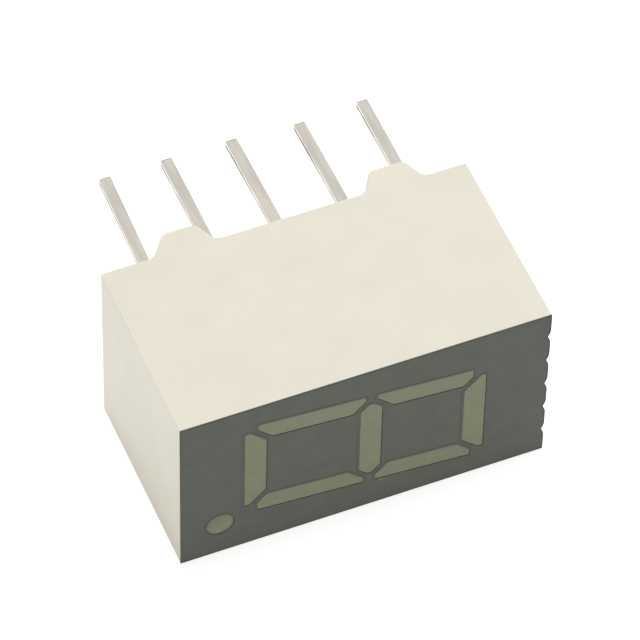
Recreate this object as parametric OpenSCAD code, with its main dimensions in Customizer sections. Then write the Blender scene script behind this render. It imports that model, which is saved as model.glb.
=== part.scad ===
// Single digit seven segment LED display in a moulded reflector housing.
// Lies on one long side, as it would on a bench: +X is the top of the digit,
// -Y is the face, +Y is the way the leads point and -Z is the side it lies on.
// Lengths are in millimetres.

/* [Body] */
// Length of the housing along the digit's height
body_l = 14.16; // [13.2:0.02:16]
// Width of the housing across the digit
body_w = 7.62; // [7.4:0.02:9]
// Depth from the face to the back plane of the walls
body_d = 7.73; // [7.2:0.01:9]
// Thickness of the two long side walls at the back
side_wall = 0.8; // [0.6:0.05:0.85]
// Thickness of the two end walls at the back
end_wall = 0.95; // [0.7:0.05:1.1]
// Corner radius of the recess behind the digit
recess_r = 0.4; // [0.2:0.05:0.6]

/* [Notched end] */
// Distance from the housing's sides to the outer notches
notch_side = 1.17; // [1:0.01:1.4]
// Number of notches
notch_count = 5; // [3:1:5]
// Depth of a notch
notch_depth = 0.12; // [0.06:0.01:0.2]
// Distance from a notch to where the end is flat again
notch_reach = 0.38; // [0.3:0.02:0.5]

/* [Standoffs] */
// How far a standoff reaches behind the back plane
standoff_h = 0.92; // [0.6:0.02:1.4]
// Width of a standoff's flat tip
standoff_tip = 1.2; // [0.8:0.05:1.4]
// Width of a standoff at the back plane
standoff_base = 2.16; // [1.9:0.02:2.4]
// Distance between the two standoffs of a long wall
standoff_span = 8.12; // [7.4:0.02:8.4]
// How far the standoffs sit off the housing's middle, towards the notched end
standoff_shift = 0.2; // [0:0.01:0.4]
// Radius of the tip's corners
standoff_r = 0.3; // [0.1:0.02:0.34]
// Radius of the fillet at the root of a standoff
standoff_fillet = 0.35; // [0.1:0.05:0.5]

/* [Digit] */
// Distance from the housing's ends to the digit
digit_end = 2.43; // [2.2:0.01:2.7]
// Distance from the housing's sides to the digit at its middle
digit_side = 1.38; // [1.26:0.01:1.5]
// Lean of the side bars in degrees
slant = 5; // [0:0.5:7]
// Thickness of the top, middle and bottom bars
bar_w = 0.86; // [0.7:0.02:1]
// Thickness of the side bars
side_w = 0.8; // [0.66:0.02:0.9]
// Gap between the mitred ends of two bars
gap = 0.24; // [0.14:0.02:0.3]
// How far the middle bar lies above the digit's own middle
middle_up = 0.2; // [0:0.02:0.3]
// Radius of the bars' corners
bar_r = 0.08; // [0.04:0.01:0.1]
// Diameter of the decimal point
point_d = 1.04; // [0.8:0.02:1.1]
// Decimal point's distance below the bottom bar's lower edge
point_drop = 0.91; // [0.8:0.01:1]
// Decimal point's distance in from the housing's side
point_in = 1.57; // [1.5:0.01:1.8]

/* [Face] */
// Thickness of the grey coat on the face
coat_t = 0.06; // [0.04:0.01:0.12]

/* [Light pipes] */
// Depth from the back end of the light pipes to the back plane
back_room = 3.33; // [3:0.01:3.6]
// Straight land at the mouth of a light pipe
pipe_land = 0.5; // [0.3:0.05:0.8]
// Length of a pipe at its back end as a share of the bar's length
pipe_length_share = 0.34; // [0.28:0.02:0.45]
// Width of a pipe at its back end as a share of the bar's width
pipe_width_share = 0.86; // [0.75:0.01:0.95]

/* [Leads] */
// Distance from the housing's ends to the outer legs, which sets the legs' pitch
leg_end = 2.0; // [1.9:0.01:2.1]
// Distance from the housing's sides to the rows of legs, which sets the rows' gap
leg_side = 1.27; // [1.2:0.01:1.4]
// Width of a lead along its row
lead_w = 0.46; // [0.4:0.02:0.5]
// Thickness of the lead sheet
lead_t = 0.25; // [0.2:0.01:0.3]
// How far the leads reach behind the standoffs
lead_reach = 4.14; // [2.6:0.02:6]
// How much shorter the lower row of leads is than the upper row
lower_crop = 0.3; // [0:0.02:0.5]
// Inner radius of the bend from a leg to its arm
bend_r = 0.15; // [0.1:0.01:0.2]
// Chamfer at a lead's tip
tip_chamfer = 0.04; // [0.02:0.01:0.1]
// Width of the arms of the lead frame
arm_w = 0.4; // [0.34:0.02:0.44]
// Depth from the back end of the light pipes to the lead frame
frame_gap = 0.9; // [0.75:0.05:1.1]
// Depth of the potting's surface below the back plane
pot_sink = 0.35; // [0.1:0.05:0.6]

/* [Chips] */
// Side of a light emitting chip
chip_w = 0.3; // [0.24:0.01:0.34]
// Height of a light emitting chip
chip_h = 0.25; // [0.15:0.01:0.3]
// Side of the pad under a chip
pad_w = 0.48; // [0.44:0.01:0.52]
// Gap between an arm that passes a pad and that pad
pass_gap = 0.3; // [0.2:0.01:0.34]
// How far the chips of the side bars sit in from their centre lines
chip_inset = 0.24; // [0.22:0.01:0.28]
// Diameter of a bond wire
wire_d = 0.05; // [0.03:0.01:0.06]
// Bend radius of a bond wire where it leaves its chip
wire_r = 0.18; // [0.12:0.01:0.24]

/* [Hidden] */
$fn = 48;

SEGMENTS = ["a", "b", "c", "d", "e", "f", "g"];
DRIVEN = ["a", "b", "c", "d", "e", "f", "g", "point"];

housing_colour = [0.91, 0.9, 0.85];
coat_colour = [0.37, 0.38, 0.36];
resin_colour = [0.51, 0.51, 0.42];
potting_colour = [0.86, 0.85, 0.78];
lead_colour = [0.8, 0.78, 0.75];
chip_colour = [0.25, 0.2, 0.2];
wire_colour = [0.85, 0.68, 0.3];

// Depths, measured from the face
land_back = coat_t + pipe_land;
pipe_back = body_d - back_room;
frame_front = pipe_back + frame_gap;
frame_back = frame_front + lead_t;
pot_back = body_d - pot_sink;
seat_back = body_d + standoff_h;
tip_back = seat_back + lead_reach;

// The digit's middle, and the lines that bound its bars
mid_x = body_l / 2;
mid_z = body_w / 2;
half_h = body_l / 2 - digit_end;
half_w = body_w / 2 - digit_side;
lean = tan(slant);
mitre_shift = gap / sqrt(2);
// Blunt ends of the bars, measured from the digit's outer lines
end_blunt = 0.51;
bar_blunt = 0.38;
middle_blunt = 0.46;
middle_meet = 0.19;
middle_half_gap = 0.21;
// Steps in each rounded corner
bar_steps = 3;
standoff_steps = 8;
bend_steps = 6;
// Steps in each shoulder of a notch
notch_steps = 5;

// Where two lines meet, each given by a point and a direction
function meet(p, v, q, w) =
    p + v * ((q.x - p.x) * w.y - (q.y - p.y) * w.x) / (v.x * w.y - v.y * w.x);

// A point of the digit's outer line at a height, on one side
function outer_at(side, height) = [height, side * half_w - lean * height];
function end_corner(side, end) = outer_at(side, end * half_h);
function middle_corner(side) = outer_at(side, middle_up) - [0, side * middle_meet];

// Side bar: side is +1 for the digit's left, end is +1 for its upper half
function side_bar(side, end) =
    let (
        along = [1, -lean],
        up = [0, 1],
        inner = [0, side * (half_w - side_w)],
        outer_tip = outer_at(side, end * (half_h - end_blunt)),
        middle_tip = outer_at(side, middle_up + end * middle_half_gap),
        end_mitre = end_corner(side, end) - [end * mitre_shift, 0],
        middle_mitre = middle_corner(side) + [end * mitre_shift, 0],
        to_inside = [-end, -side],
        to_end = [end, -side]
    )
    [
        outer_tip,
        meet(outer_tip, up, end_mitre, to_inside),
        meet(inner, along, end_mitre, to_inside),
        meet(inner, along, middle_mitre, to_end),
        meet(middle_tip, up, middle_mitre, to_end),
        middle_tip
    ];

// One end of the top or bottom bar, from its outer edge to its inner edge
function bar_end(side, end) =
    let (
        blunt = end_corner(side, end) - [0, side * bar_blunt],
        mitre = end_corner(side, end) + [end * mitre_shift, 0],
        to_inside = [-end, -side],
        inner = [end * (half_h - bar_w), 0]
    )
    [
        blunt,
        meet(blunt, [1, 0], mitre, to_inside),
        meet(inner, [0, 1], mitre, to_inside)
    ];

// Half of one end of the middle bar, from its edge to its blunt tip
function middle_end(side, end) =
    let (
        blunt = outer_at(side, middle_up) - [0, side * middle_blunt],
        mitre = middle_corner(side) - [end * mitre_shift, 0],
        to_end = [end, -side],
        edge = [middle_up + end * bar_w / 2, 0]
    )
    [
        meet(edge, [0, 1], mitre, to_end),
        meet(blunt, [1, 0], mitre, to_end)
    ];

function reversed(list) = [for (i = [len(list) - 1 : -1 : 0]) list[i]];

// Tangent arc that rounds the corner q between its neighbours p and r
function corner_arc(p, q, r, radius, steps) =
    let (
        to_p = (p - q) / norm(p - q),
        to_r = (r - q) / norm(r - q),
        half = acos(to_p * to_r) / 2,
        middle = (to_p + to_r) / norm(to_p + to_r),
        centre = q + middle * radius / sin(half),
        first = q + to_p * radius / tan(half) - centre,
        last = q + to_r * radius / tan(half) - centre,
        turn = 180 - 2 * half
    )
    [
        for (i = [0 : steps])
            centre + (first * sin(turn * (1 - i / steps)) + last * sin(turn * i / steps)) / sin(turn)
    ];

// An outline with each corner rounded by its own radius; 0 leaves a corner sharp
function rounded(points, radii, steps) =
    let (n = len(points))
    [
        for (i = [0 : n - 1])
            each radii[i] == 0
                ? [points[i]]
                : corner_arc(points[(i + n - 1) % n], points[i], points[(i + 1) % n], radii[i], steps)
    ];

// Twice an outline's signed area, and the outline turned to run anticlockwise
function turning(points) =
    let (n = len(points))
    [
        for (i = 0, sum = 0; i <= n; sum = sum + cross(points[i % n], points[(i + 1) % n]), i = i + 1)
            if (i == n) sum
    ][0];
function anticlockwise(points) = turning(points) > 0 ? points : reversed(points);

function bar_outline(s) =
    s == "a" ? concat(bar_end(1, 1), reversed(bar_end(-1, 1))) :
    s == "d" ? concat(bar_end(1, -1), reversed(bar_end(-1, -1))) :
    s == "g" ? concat(
        middle_end(1, -1), reversed(middle_end(1, 1)),
        middle_end(-1, 1), reversed(middle_end(-1, -1))
    ) :
    s == "b" ? side_bar(-1, 1) :
    s == "c" ? side_bar(-1, -1) :
    s == "e" ? side_bar(1, -1) :
    side_bar(1, 1);

// Places on the face, as [x, z] from the housing's lower plain corner
point_at = [mid_x - half_h - point_drop, point_in];

function side_middle(side, end) =
    [mid_x, mid_z]
    + outer_at(side, end * (half_h + end * middle_up) / 2)
    - [0, side * side_w / 2];

function bar_middle(s) =
    s == "a" ? [mid_x + half_h - bar_w / 2, mid_z - lean * (half_h - bar_w / 2)] :
    s == "d" ? [mid_x - half_h + bar_w / 2, mid_z + lean * (half_h - bar_w / 2)] :
    s == "g" ? [mid_x + middle_up, mid_z - lean * middle_up] :
    s == "b" ? side_middle(-1, 1) :
    s == "c" ? side_middle(-1, -1) :
    s == "e" ? side_middle(1, -1) :
    s == "f" ? side_middle(1, 1) :
    point_at;

function bar_side(s) =
    s == "b" || s == "c" || s == "point" ? -1 :
    s == "e" || s == "f" ? 1 : 0;

function is_side_bar(s) = s == "b" || s == "c" || s == "e" || s == "f";

function chip_at(s) = bar_middle(s) - [0, bar_side(s) * chip_inset];

// Legs: place 0 is at the plain end of a row, row +1 is the upper one
last_place = 4;
middle_place = 2;
pitch = (body_l - 2 * leg_end) / last_place;
function leg_x(place) = leg_end + place * pitch;
function leg_z(row) = mid_z + row * (mid_z - leg_side);
function arm_start(place, row) =
    [leg_x(place), leg_z(row) - row * (lead_t / 2 + bend_r)];

// Slight sideways set of the upper row's legs, at the back plane and the tips
upper_knee_set = [-0.02, -0.04, 0.03, 0.11, 0.08];
upper_tip_set = [0.1, -0.04, -0.04, 0.05, 0.07];
// The fourth leg of the upper row was cropped a little shorter
upper_crop = [0, 0, 0, 0.17, 0];
knee_back = seat_back;
// Stretch of an arm next to its bend that keeps the lead's full width
arm_lead_in = 0.25;
function arm_root(place, row) = arm_start(place, row) - [0, row * arm_lead_in / 2];

function knee_set(place, row) = row > 0 ? upper_knee_set[place] : 0;
function tip_set(place, row) = row > 0 ? upper_tip_set[place] : 0;
function crop(place, row) = row > 0 ? upper_crop[place] : lower_crop;

// The common piece: a spine between the middle legs of both rows, with branches
spine_w = lead_w;
// Gap between the spine and the middle bar's edge, seen from the face
spine_clear = 0.05;
spine_x = mid_x + middle_up - bar_w / 2 - spine_w / 2 - spine_clear;
spine_turn = 0.75;
spine_top = [spine_x, arm_start(middle_place, 1).y - spine_turn];
spine_foot = [spine_x, arm_start(middle_place, -1).y + spine_turn];
// Distances from a chip to the end of the branch that its wire reaches
wire_clear = 0.95;
wire_clear_a = 0.75;
wire_clear_d = 1.0;
// Heights of the branch ends off the chips that they serve
upper_branch_rise = 0.1;
west_branch_drop = 0.25;
// Run and drop of the branch that reaches towards the decimal point
point_branch_run = 0.5;
point_branch_drop = 1.1;
lower_branch_z = chip_at("b").y + wire_clear;
west_branch_z = chip_at("d").y - west_branch_drop;
lower_branch_end = [chip_at("a").x - wire_clear_a, lower_branch_z];
upper_branch_end = [chip_at("f").x - wire_clear, chip_at("f").y + upper_branch_rise];
west_branch_end = [chip_at("d").x + wire_clear_d, west_branch_z];
point_branch_end = west_branch_end - [point_branch_run, point_branch_drop];

// Where each chip's wire lands on the common piece. Two wires share a branch,
// so each lands a little to its own side.
landing_shift = 0.35;
function landing(s) =
    s == "a" ? lower_branch_end :
    s == "b" ? [chip_at("b").x, lower_branch_z] :
    s == "c" ? [chip_at("c").x - landing_shift, west_branch_z] :
    s == "d" ? west_branch_end :
    s == "e" ? [chip_at("e").x + landing_shift, west_branch_z] :
    s == "f" ? upper_branch_end :
    s == "g" ? [spine_x, chip_at("g").y] :
    point_branch_end;

// Place and row of the leg that drives each chip
function leg_of(s) =
    s == "a" ? [4, -1] :
    s == "b" ? [3, -1] :
    s == "c" ? [1, -1] :
    s == "d" ? [0, 1] :
    s == "e" ? [1, 1] :
    s == "f" ? [3, 1] :
    s == "g" ? [4, 1] :
    [0, -1];

// Where the outer arms turn towards their chips, measured from the chip
turn_in = 0.8;
turn_in_g = 0.5;
// Height at which the arm of chip g passes under the pad of chip f
passing_z = chip_at("f").y - (pad_w + arm_w) / 2 - pass_gap;

// Turning points of each arm between its leg and its chip
function arm_turns(s) =
    let (start = arm_start(leg_of(s)[0], leg_of(s)[1]), chip = chip_at(s))
    s == "a" ? [[start.x, chip.y - turn_in]] :
    s == "d" ? [[start.x, chip.y + turn_in]] :
    s == "g" ? [[start.x, passing_z], [chip.x + turn_in_g, passing_z]] :
    [];

// Moves the children from the housing's own corner to the part's frame
module in_place() {
    translate([-body_l / 2, -tip_back / 2, 0]) children();
}

// Extrudes an outline given in X and Z along the depth, starting at a depth
module along_depth(start, depth) {
    translate([0, start, 0])
        mirror([0, 1, 0])
            rotate([90, 0, 0])
                linear_extrude(height = depth)
                    children();
}

// Loft through rings of points that all run anticlockwise as seen from the face
module loft(rings) {
    n = len(rings[0]);
    last = len(rings) - 1;
    polyhedron(
        points = [for (ring = rings) each ring],
        faces = concat(
            [[for (i = [n - 1 : -1 : 0]) i]],
            [
                for (k = [0 : last - 1], i = [0 : n - 1])
                    let (a = k * n + i, b = k * n + (i + 1) % n)
                    each [[a, b, b + n], [a, b + n, a + n]]
            ],
            [[for (i = [0 : n - 1]) last * n + i]]
        )
    );
}

// Half of a notch, as [x, z] from the end of the flat below it to its bottom
function notch_half() =
    let (
        shoulder_r = (notch_reach * notch_reach + notch_depth * notch_depth) / (2 * notch_depth),
        last_turn = asin(notch_reach / shoulder_r)
    )
    [
        for (i = [0 : notch_steps])
            let (turn = last_turn * i / notch_steps)
            [-shoulder_r * (1 - cos(turn)), shoulder_r * sin(turn) - notch_reach]
    ];

// Whole notch at a height on the housing's end
function notch_at(z) =
    let (half = notch_half())
    [
        for (p = half) [body_l + p.x, z + p.y],
        for (i = [notch_steps - 1 : -1 : 0]) [body_l + half[i].x, z - half[i].y]
    ];

// Outline of the housing across its depth, with the notched end
module body_outline() {
    notch_pitch = (body_w - 2 * notch_side) / (notch_count - 1);
    polygon([
        [0, 0],
        [body_l, 0],
        for (i = [0 : notch_count - 1]) each notch_at(notch_side + i * notch_pitch),
        [body_l, body_w],
        [0, body_w]
    ]);
}

// Rounded rectangle of the recess in the housing's back
module recess_outline() {
    l = body_l - 2 * end_wall;
    w = body_w - 2 * side_wall;
    translate([end_wall, side_wall])
        union() {
            translate([recess_r, 0]) square([l - 2 * recess_r, w]);
            translate([0, recess_r]) square([l, w - 2 * recess_r]);
            for (x = [recess_r, l - recess_r], z = [recess_r, w - recess_r])
                translate([x, z]) circle(r = recess_r);
        }
}

// Outline of a bar with its corners rounded, on the face
function bar_window(s) =
    let (points = bar_outline(s))
    [
        for (p = anticlockwise(rounded(points, [for (q = points) bar_r], bar_steps)))
            p + [mid_x, mid_z]
    ];

// Solid that fills a bar's opening: a straight land at the face, then a pipe
// that narrows towards the bar's chip
module bar_pipe(s) {
    chip = chip_at(s);
    window = bar_window(s);
    share = is_side_bar(s)
        ? [pipe_length_share, pipe_width_share]
        : [pipe_width_share, pipe_length_share];
    loft([
        [for (p = window) [p.x, 0, p.y]],
        [for (p = window) [p.x, land_back, p.y]],
        [
            for (p = window)
                [chip.x + (p.x - chip.x) * share.x, pipe_back, chip.y + (p.y - chip.y) * share.y]
        ]
    ]);
}

// Solid that fills the decimal point's round light pipe
module point_pipe() {
    translate([point_at.x, 0, point_at.y])
        rotate([-90, 0, 0]) {
            cylinder(d = point_d, h = land_back);
            translate([0, 0, land_back])
                cylinder(d1 = point_d, d2 = point_d * pipe_width_share, h = pipe_back - land_back);
        }
}

// One standoff in plan: flat tip, sloping flanks, rounded corners and roots
module standoff_outline() {
    root = standoff_base / 2;
    foot = root + standoff_fillet;
    tip = standoff_tip / 2;
    polygon(rounded(
        [
            [-foot, -side_wall], [-foot, 0], [-root, 0], [-tip, standoff_h],
            [tip, standoff_h], [root, 0], [foot, 0], [foot, -side_wall]
        ],
        [0, 0, standoff_fillet, standoff_r, standoff_r, standoff_fillet, 0, 0],
        standoff_steps
    ));
}

module standoffs() {
    for (x = [-1, 1], z = [0, body_w - side_wall])
        translate([mid_x + x * standoff_span / 2 + standoff_shift, body_d, z])
            linear_extrude(height = side_wall)
                standoff_outline();
}

module housing() {
    color(housing_colour) in_place() difference() {
        union() {
            along_depth(coat_t, body_d - coat_t) body_outline();
            standoffs();
        }
        along_depth(pipe_back, body_d) recess_outline();
        for (s = SEGMENTS) bar_pipe(s);
        point_pipe();
    }
}

module face_coat() {
    color(coat_colour) in_place() difference() {
        along_depth(0, coat_t) body_outline();
        for (s = SEGMENTS) bar_pipe(s);
        point_pipe();
    }
}

module segment(s) {
    color(resin_colour) in_place() bar_pipe(s);
}

module decimal_point() {
    color(resin_colour) in_place() point_pipe();
}

// Step from a strip's middle line to its left edge at point i, with mitred turns
function left_of(run) = [-run.y, run.x] / norm(run);
function edge_step(points, i, w) =
    let (
        last = len(points) - 1,
        before = left_of(points[max(i, 1)] - points[max(i, 1) - 1]),
        after = left_of(points[min(i, last - 1) + 1] - points[min(i, last - 1)]),
        mitre = (before + after) / norm(before + after)
    )
    mitre * w / 2 / (mitre * before);

// Flat strip of the lead frame through a list of points, given in X and Z
module strip(points, w) {
    polygon([
        for (i = [0 : len(points) - 1]) points[i] + edge_step(points, i, w),
        for (i = [len(points) - 1 : -1 : 0]) points[i] - edge_step(points, i, w)
    ]);
}

// Arc of a bend at one radius, as [depth, z], from the arm's side to the leg's side
function bend_arc(place, row, radius) = [
    for (i = [0 : bend_steps])
        let (turn = 90 * i / bend_steps)
        [frame_back + bend_r, arm_start(place, row).y] + radius * [-cos(turn), row * sin(turn)]
];

// Side profile of a leg, as [depth, z]: the end of its arm, the bend and the leg
function leg_profile(place, row) =
    let (
        arm_end = arm_start(place, row).y - row * arm_lead_in,
        outer = leg_z(row) + row * lead_t / 2,
        inner = leg_z(row) - row * lead_t / 2
    )
    concat(
        [[frame_front, arm_end]],
        bend_arc(place, row, bend_r + lead_t),
        [[tip_back + lead_t, outer], [tip_back + lead_t, inner]],
        reversed(bend_arc(place, row, bend_r)),
        [[frame_back, arm_end]]
    );

// Plan of a leg, as [x, depth], with its slight sets and its chamfered tip
function leg_plan(place, row) =
    let (
        x = leg_x(place),
        knee = x + knee_set(place, row),
        end = x + tip_set(place, row),
        tip = tip_back - crop(place, row),
        half = lead_w / 2
    )
    [
        [x - half, pipe_back], [x - half, pot_back], [knee - half, knee_back],
        [end - half, tip - tip_chamfer], [end - half + tip_chamfer, tip],
        [end + half - tip_chamfer, tip], [end + half, tip - tip_chamfer],
        [knee + half, knee_back], [x + half, pot_back], [x + half, pipe_back]
    ];

// Leg of a lead, with its bend and the end of its arm
module leg(place, row) {
    intersection() {
        linear_extrude(height = body_w) polygon(leg_plan(place, row));
        translate([leg_x(place) - lead_w, 0, 0])
            rotate([90, 0, 90])
                linear_extrude(height = 2 * lead_w)
                    polygon(leg_profile(place, row));
    }
}

// Lead that carries the chip of one bar, with its square pad
module driven_lead(s) {
    place = leg_of(s)[0];
    row = leg_of(s)[1];
    chip = chip_at(s);
    color(lead_colour) in_place() {
        leg(place, row);
        along_depth(frame_front, lead_t) {
            strip(concat([arm_root(place, row)], arm_turns(s), [chip]), arm_w);
            translate(chip) square(pad_w, center = true);
        }
    }
}

// Common piece: two legs, the spine between them and four branches
module lead_common() {
    color(lead_colour) in_place() {
        for (row = [-1, 1]) leg(middle_place, row);
        along_depth(frame_front, lead_t) {
            strip([arm_root(middle_place, 1), spine_top, spine_foot, arm_root(middle_place, -1)], spine_w);
            strip([[spine_x, lower_branch_z], lower_branch_end + [pad_w / 2, 0]], arm_w);
            strip([spine_top, upper_branch_end + [pad_w / 2, 0]], arm_w);
            strip([[spine_x, west_branch_z], west_branch_end, point_branch_end], arm_w);
            translate(point_branch_end) square(pad_w, center = true);
        }
    }
}

module chip(s) {
    at = chip_at(s);
    color(chip_colour) in_place()
        translate([at.x - chip_w / 2, frame_front - chip_h, at.y - chip_w / 2])
            cube([chip_w, chip_h, chip_w]);
}

// Bond wire: up from the chip, across, and down to the common piece
module wire(s) {
    from = chip_at(s);
    to = landing(s);
    run = to - from;
    fall_r = wire_r + chip_h;
    top = frame_front - chip_h - wire_r;
    color(wire_colour) in_place()
        translate([from.x, 0, from.y])
            rotate([0, -atan2(run.y, run.x), 0]) {
                translate([wire_r, top + wire_r, 0])
                    rotate([0, 0, 180])
                        rotate_extrude(angle = 90, $fn = 32)
                            translate([wire_r, 0]) circle(d = wire_d);
                translate([wire_r, top, 0])
                    rotate([0, 90, 0])
                        cylinder(d = wire_d, h = norm(run) - wire_r - fall_r, $fn = 32);
                translate([norm(run) - fall_r, top + fall_r, 0])
                    rotate([0, 0, -90])
                        rotate_extrude(angle = 90, $fn = 32)
                            translate([fall_r, 0]) circle(d = wire_d);
            }
}

// Clear resin behind the light pipes, cast round the lead frame and its chips
module back_potting() {
    color(potting_colour) difference() {
        in_place() along_depth(pipe_back, pot_back - pipe_back) recess_outline();
        lead_common();
        for (s = DRIVEN) {
            driven_lead(s);
            chip(s);
            wire(s);
        }
    }
}

housing();
face_coat();
back_potting();
decimal_point();
lead_common();
for (s = SEGMENTS)
    segment(s);
for (s = DRIVEN)
    driven_lead(s);
for (s = DRIVEN)
    chip(s);
for (s = DRIVEN)
    wire(s);
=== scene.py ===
"""Looks of a single digit LED display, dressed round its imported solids.

The display lies on one long side. +X is the top of the digit and the notched
end, -Y is the face and +Y is the way the leads point. Lengths named _mm are in
millimetres; Blender works in metres.
"""

import logging
import math
from collections.abc import Callable
from dataclasses import dataclass
from enum import Enum

import bmesh
import bpy
from mathutils import Euler, Matrix, Vector


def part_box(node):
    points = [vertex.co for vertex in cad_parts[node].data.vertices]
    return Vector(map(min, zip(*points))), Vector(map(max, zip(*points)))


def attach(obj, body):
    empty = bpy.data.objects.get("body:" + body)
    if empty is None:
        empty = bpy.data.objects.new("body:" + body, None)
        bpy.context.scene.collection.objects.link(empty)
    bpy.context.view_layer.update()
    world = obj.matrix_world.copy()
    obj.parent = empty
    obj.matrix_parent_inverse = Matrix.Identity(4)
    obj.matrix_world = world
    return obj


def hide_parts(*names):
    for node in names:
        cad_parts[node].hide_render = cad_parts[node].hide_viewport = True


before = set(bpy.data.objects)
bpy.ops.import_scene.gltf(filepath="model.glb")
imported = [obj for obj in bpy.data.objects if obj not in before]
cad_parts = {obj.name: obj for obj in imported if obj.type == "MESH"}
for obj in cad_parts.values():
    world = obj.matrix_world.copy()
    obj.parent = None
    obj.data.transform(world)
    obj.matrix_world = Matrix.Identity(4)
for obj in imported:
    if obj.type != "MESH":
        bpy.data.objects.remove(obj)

log = logging.getLogger("display")

MM = 0.001
ROOT = "root"
BARS = ("a", "b", "c", "d", "e", "f", "g")
DRIVEN = (*BARS, "point")
FACE_NORMAL = Vector((0, -1, 0))
THROUGH = "through_sheet"
SHEARED = "sheared_side"
TO_TIP = "distance_to_tip_mm"
MERGE_MM = 0.0005
NEAR_MM = 0.002
FLAT_WITHIN = math.radians(0.3)
SHARP_FROM = math.radians(20)
CREASED_FROM = math.radians(50)
ROUNDING_STEPS = 3
FACES_FRONT = 0.99
RIM_WITHIN_MM = 0.13


class Slot(Enum):
    """The record's material slots."""

    HOUSING = "housing"
    INK = "face_ink"
    RESIN = "segment_resin"
    POTTING = "potting"
    LEAD = "tinned_lead"
    CHIP = "chip"
    WIRE = "bond_wire"


def linear(colour: str) -> tuple[float, float, float, float]:
    """Turns an sRGB hex colour to linear light.

    Args:
        colour: Six hex digits after a hash sign.

    Returns:
        Red, green, blue and an alpha of 1.
    """
    parts = [int(colour[i : i + 2], 16) / 255 for i in (1, 3, 5)]
    light = [c / 12.92 if c <= 0.04045 else ((c + 0.055) / 1.055) ** 2.4 for c in parts]
    return (*light, 1.0)


def per_metre(size_mm: float) -> float:
    """Texture scale whose features are about size_mm across."""
    return 1 / (size_mm * MM)


def add_node(tree: bpy.types.NodeTree, kind: str, inputs: dict | None = None, **settings) -> bpy.types.Node:
    """Adds a node, sets its properties and fills or links its inputs.

    Args:
        tree: The node tree that gets the node.
        kind: Blender's identifier of the node type.
        inputs: Input name or index to a value, or to an output socket to link.
        **settings: Properties of the node.

    Returns:
        The new node.
    """
    node = tree.nodes.new(kind)
    for name, value in settings.items():
        setattr(node, name, value)
    for key, value in (inputs or {}).items():
        if isinstance(value, bpy.types.NodeSocket):
            tree.links.new(value, node.inputs[key])
        else:
            node.inputs[key].default_value = value
    return node


@dataclass(frozen=True)
class Finish:
    """A surface: what the thing is made of and how its face was formed."""

    name: str
    colour: str
    tint: str
    blotch_mm: float
    grain_mm: float
    bump_mm: float
    roughness: float
    roughness_spread: float = 0.06
    metallic: float = 0.0
    ior: float = 1.5
    specular: float = 0.5
    subsurface: float = 0.0
    subsurface_mm: float = 0.3
    subsurface_tint: tuple[float, float, float] = (1.0, 0.9, 0.7)
    stretch: tuple[float, float, float] = (1.0, 1.0, 1.0)
    blotch_span: tuple[float, float] = (0.32, 0.68)
    grain_span: tuple[float, float] = (0.3, 0.7)

    def colour_socket(self, tree: bpy.types.NodeTree, place: bpy.types.NodeSocket) -> bpy.types.NodeSocket:
        """Base colour, drifting between the finish's two tones.

        Args:
            tree: The material's node tree.
            place: Object coordinates.

        Returns:
            The colour output.
        """
        blotch = add_node(
            tree, "ShaderNodeTexNoise", {"Vector": place, "Scale": per_metre(self.blotch_mm), "Detail": 3.0}
        )
        low, high = self.blotch_span
        drift = add_node(
            tree, "ShaderNodeMapRange", {0: blotch.outputs[0], 1: low, 2: high}, interpolation_type="SMOOTHSTEP"
        )
        mixed = add_node(
            tree,
            "ShaderNodeMix",
            {0: drift.outputs[0], 6: linear(self.colour), 7: linear(self.tint)},
            data_type="RGBA",
        )
        return mixed.outputs[2]

    def build(self) -> bpy.types.Material:
        """Builds the material's nodes.

        Returns:
            The material.
        """
        material = bpy.data.materials.new(self.name)
        material.use_nodes = True
        tree = material.node_tree
        shader = tree.nodes["Principled BSDF"]
        here = add_node(tree, "ShaderNodeTexCoord").outputs["Object"]
        drawn = add_node(tree, "ShaderNodeVectorMath", {0: here, 1: self.stretch}, operation="MULTIPLY")
        place = drawn.outputs[0]
        tree.links.new(self.colour_socket(tree, place), shader.inputs["Base Color"])

        grain = add_node(
            tree, "ShaderNodeTexNoise", {"Vector": place, "Scale": per_metre(self.grain_mm), "Detail": 4.0}
        )
        rough = add_node(
            tree,
            "ShaderNodeMapRange",
            {
                0: grain.outputs[0],
                1: self.grain_span[0],
                2: self.grain_span[1],
                3: self.roughness - self.roughness_spread,
                4: self.roughness + self.roughness_spread,
            },
        )
        tree.links.new(rough.outputs[0], shader.inputs["Roughness"])
        bump = add_node(
            tree, "ShaderNodeBump", {"Height": grain.outputs[0], "Strength": 1.0, "Distance": self.bump_mm * MM}
        )
        tree.links.new(bump.outputs[0], shader.inputs["Normal"])

        shader.inputs["Metallic"].default_value = self.metallic
        shader.inputs["IOR"].default_value = self.ior
        shader.inputs["Specular IOR Level"].default_value = self.specular
        if self.subsurface:
            shader.inputs["Subsurface Weight"].default_value = self.subsurface
            shader.inputs["Subsurface Radius"].default_value = self.subsurface_tint
            shader.inputs["Subsurface Scale"].default_value = self.subsurface_mm * MM
        return material


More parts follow.
